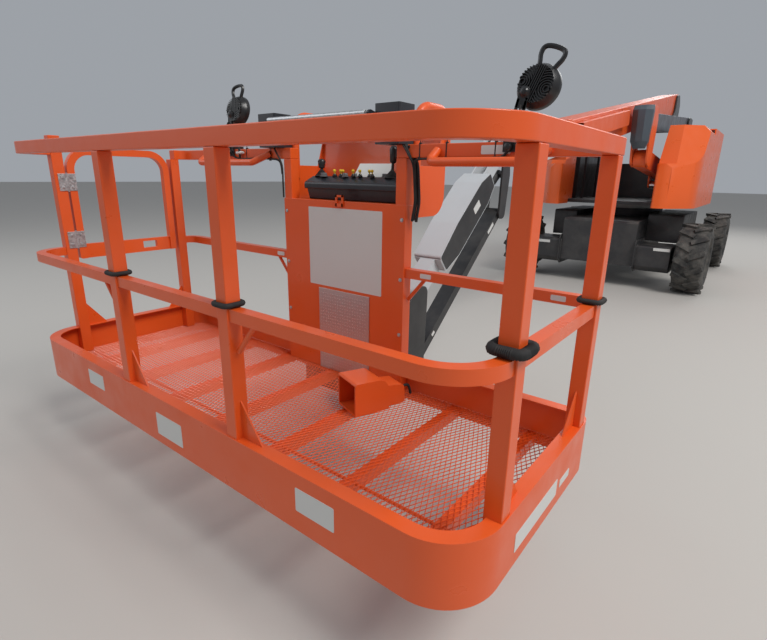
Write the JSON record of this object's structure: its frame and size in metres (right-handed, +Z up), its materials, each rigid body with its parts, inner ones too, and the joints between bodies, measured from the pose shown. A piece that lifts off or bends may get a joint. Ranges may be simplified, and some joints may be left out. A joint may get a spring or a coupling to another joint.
{
  "type": "articulating boom lift",
  "caption": "Self-propelled articulating boom lift with a folding riser, telescopic boom, jib and railed work platform.",
  "frame": {"origin": "on the ground, under the middle of the parked machine's box", "axes": "+Z up; +Y from the platform back to the machine, along the boom; +X to the right of somebody facing the machine over the platform"},
  "size_m": [2.5837, 9.1007, 2.5829],
  "materials": {
    "chassis_black": "satin",
    "cast_black": "satin",
    "bearing_steel": "machined",
    "orange_paint": "gloss",
    "orange_hood": "gloss",
    "dark_grey": "satin",
    "silver_paint": "satin",
    "link_black": "gloss",
    "rod_chrome": "polished",
    "control_black": "moulded",
    "lamp_black": "moulded",
    "tread_steel": "machined",
    "tyre_rubber": "moulded",
    "rim_grey": "satin"
  },
  "bodies": {
    "chassis": {"chassis_frame": "chassis_black", "front_axle": "chassis_black", "chassis_boxes": "chassis_black", "rear_axle": "chassis_black", "slew_ring": "bearing_steel"},
    "knuckle_left": {"knuckle_left": "chassis_black"},
    "knuckle_right": {"knuckle_right": "chassis_black"},
    "turntable": {"turntable": "cast_black", "counterweight": "cast_black", "engine": "cast_black", "tanks": "cast_black"},
    "hood_left": {"hood_left": "orange_hood"},
    "hood_right": {"hood_right": "orange_hood"},
    "riser_lower": {"riser_lower_arm": "orange_paint"},
    "riser_knee": {"riser_knee": "orange_paint", "knee_cover": "dark_grey"},
    "riser_upper": {"riser_upper_arm": "dark_grey"},
    "upright": {"upright": "cast_black"},
    "boom_base": {"boom_base": "orange_paint", "hose_tray": "orange_paint"},
    "boom_fly": {"boom_fly": "silver_paint"},
    "jib_base": {"jib_base": "cast_black"},
    "jib": {"jib_arm": "silver_paint"},
    "jib_link": {"jib_link": "link_black"},
    "platform_support": {"platform_support": "cast_black"},
    "platform": {"platform_tray": "orange_paint", "platform_floor": "orange_paint", "platform_posts": "orange_paint", "top_rail": "orange_paint", "mid_rails": "orange_paint", "hand_guards": "orange_paint", "post_rings": "control_black", "console": "orange_paint", "tread_plate": "tread_steel", "side_frames": "orange_paint", "console_back": "orange_paint", "rotator_ears": "cast_black", "control_box": "control_black", "sensor_boxes": "control_black", "trip_bar": "tread_steel", "gate_hinges": "tread_steel", "work_lamps": "lamp_black", "foot_switch": "orange_paint"},
    "gate": {"gate": "orange_paint"},
    "wheel_front_left": {"tyre_front_left": "tyre_rubber", "rim_front_left": "rim_grey"},
    "wheel_front_right": {"tyre_front_right": "tyre_rubber", "rim_front_right": "rim_grey"},
    "wheel_rear_left": {"tyre_rear_left": "tyre_rubber", "rim_rear_left": "rim_grey"},
    "wheel_rear_right": {"tyre_rear_right": "tyre_rubber", "rim_rear_right": "rim_grey"},
    "riser_cylinder": {"riser_cylinder": "link_black"},
    "riser_rod": {"riser_rod": "rod_chrome"},
    "boom_cylinder": {"boom_cylinder": "link_black"},
    "boom_rod": {"boom_rod": "rod_chrome"},
    "jib_cylinder": {"jib_cylinder": "link_black"},
    "jib_rod": {"jib_rod": "rod_chrome"}
  },
  "joints": [
    {"name": "wheel_front_left_spin", "type": "hinge", "parent": "chassis", "child": "wheel_front_left", "pos_m": [-1.115, 1.626, 0.418], "axis": [1, 0, 0], "continuous": true},
    {"name": "wheel_front_right_spin", "type": "hinge", "parent": "chassis", "child": "wheel_front_right", "pos_m": [0.995, 1.626, 0.418], "axis": [1, 0, 0], "continuous": true},
    {"name": "wheel_rear_left_spin", "type": "hinge", "parent": "knuckle_left", "child": "wheel_rear_left", "pos_m": [-1.115, 4.126, 0.418], "axis": [1, 0, 0], "continuous": true},
    {"name": "wheel_rear_right_spin", "type": "hinge", "parent": "knuckle_right", "child": "wheel_rear_right", "pos_m": [0.995, 4.126, 0.418], "axis": [1, 0, 0], "continuous": true},
    {"name": "steer_left", "type": "hinge", "parent": "chassis", "child": "knuckle_left", "pos_m": [-0.89, 4.126, 0.418], "axis": [0, 0, 1], "range_deg": [-30, 30]},
    {"name": "steer_right", "type": "hinge", "parent": "chassis", "child": "knuckle_right", "pos_m": [0.77, 4.126, 0.418], "axis": [0, 0, 1], "range_deg": [-30, 30]},
    {"name": "swing", "type": "hinge", "parent": "chassis", "child": "turntable", "pos_m": [-0.06, 2.876, 1.012], "axis": [0, 0, 1], "range_deg": [-178, 178]},
    {"name": "hood_left_open", "type": "hinge", "parent": "turntable", "child": "hood_left", "pos_m": [-0.6017, 2.876, 1.953], "axis": [0, 1, 0], "range_deg": [0, 60]},
    {"name": "hood_right_open", "type": "hinge", "parent": "turntable", "child": "hood_right", "pos_m": [0.4817, 2.876, 1.953], "axis": [0, -1, 0], "range_deg": [0, 60]},
    {"name": "riser_lift", "type": "hinge", "parent": "turntable", "child": "riser_lower", "pos_m": [0.33, 3.636, 1.33], "axis": [-1, 0, 0], "range_deg": [0, 66]},
    {"name": "knee_level", "type": "hinge", "parent": "riser_lower", "child": "riser_knee", "pos_m": [0.33, 1.226, 1.56], "axis": [1, 0, 0], "range_deg": [0, 66]},
    {"name": "riser_unfold", "type": "hinge", "parent": "riser_knee", "child": "riser_upper", "pos_m": [0.33, 1.226, 1.95], "axis": [1, 0, 0], "range_deg": [0, 66]},
    {"name": "upright_level", "type": "hinge", "parent": "riser_upper", "child": "upright", "pos_m": [0.33, 3.776, 2.13], "axis": [-1, 0, 0], "range_deg": [0, 66]},
    {"name": "boom_lift", "type": "hinge", "parent": "upright", "child": "boom_base", "pos_m": [0.06, 3.806, 2.43], "axis": [-1, 0, 0], "range_deg": [0, 84.4]},
    {"name": "boom_extend", "type": "slide", "parent": "boom_base", "child": "boom_fly", "axis": [0, -0.9866, -0.1633], "range_m": [-0.42, 1.5]},
    {"name": "nose_level", "type": "hinge", "parent": "boom_fly", "child": "jib_base", "pos_m": [0.06, -1.994, 1.53063], "axis": [1, 0, 0], "range_deg": [0, 84.4]},
    {"name": "jib_lift", "type": "hinge", "parent": "jib_base", "child": "jib", "pos_m": [0.06, -1.994, 1.53063], "axis": [-1, 0, 0], "range_deg": [-19.3, 102.7]},
    {"name": "jib_link_turn", "type": "hinge", "parent": "jib_base", "child": "jib_link", "pos_m": [0.06, -2.009, 1.09063], "axis": [-1, 0, 0], "range_deg": [-19.3, 102.7]},
    {"name": "support_level", "type": "hinge", "parent": "jib", "child": "platform_support", "pos_m": [0.06, -2.994, 0.67063], "axis": [1, 0, 0], "range_deg": [-19.3, 102.7]},
    {"name": "platform_rotate", "type": "hinge", "parent": "platform_support", "child": "platform", "pos_m": [0.06, -3.214, 0.29063], "axis": [0, 0, 1], "range_deg": [-90, 90]},
    {"name": "gate_open", "type": "hinge", "parent": "platform", "child": "gate", "pos_m": [-1.1137, -4.318, 0.95], "axis": [0, 0, -1], "range_deg": [0, 90]},
    {"name": "riser_cylinder_turn", "type": "hinge", "parent": "turntable", "child": "riser_cylinder", "pos_m": [0.33, 3.476, 1.165], "axis": [-1, 0, 0], "range_deg": [-0.5, 68.61]},
    {"name": "riser_rod_slide", "type": "slide", "parent": "riser_cylinder", "child": "riser_rod", "axis": [0, -0.9972, 0.0747], "range_m": [-0.005, 0.2449]},
    {"name": "boom_cylinder_turn", "type": "hinge", "parent": "upright", "child": "boom_cylinder", "pos_m": [0.06, 3.651, 2.185], "axis": [-1, 0, 0], "range_deg": [-0.5, 87.28]},
    {"name": "boom_rod_slide", "type": "slide", "parent": "boom_cylinder", "child": "boom_rod", "axis": [0, -0.9767, -0.2148], "range_m": [-0.005, 0.383]},
    {"name": "jib_cylinder_turn", "type": "hinge", "parent": "jib_base", "child": "jib_cylinder", "pos_m": [0.06, -1.994, 1.35063], "axis": [-1, 0, 0], "range_deg": [-19.39, 100.99]},
    {"name": "jib_rod_slide", "type": "slide", "parent": "jib_cylinder", "child": "jib_rod", "axis": [0, -0.8261, -0.5636], "range_m": [-0.054, 0.2656]}
  ],
  "couplings": [
    {"joint": "steer_right", "follows": "steer_left", "ratio": 1},
    {"joint": "knee_level", "follows": "riser_lift", "ratio": 1},
    {"joint": "riser_unfold", "follows": "riser_lift", "ratio": 1},
    {"joint": "upright_level", "follows": "riser_lift", "ratio": 1},
    {"joint": "nose_level", "follows": "boom_lift", "ratio": 1},
    {"joint": "jib_link_turn", "follows": "jib_lift", "ratio": 1},
    {"joint": "support_level", "follows": "jib_lift", "ratio": 1},
    {"joint": "riser_cylinder_turn", "follows": "riser_lift", "ratio": 1.032},
    {"joint": "riser_rod_slide", "follows": "riser_lift", "m_per_rad": 0.20824},
    {"joint": "boom_cylinder_turn", "follows": "boom_lift", "ratio": 1.0283},
    {"joint": "boom_rod_slide", "follows": "boom_lift", "m_per_rad": 0.2566},
    {"joint": "jib_cylinder_turn", "follows": "jib_lift", "ratio": 0.97854},
    {"joint": "jib_rod_slide", "follows": "jib_lift", "m_per_rad": 0.14537}
  ]
}
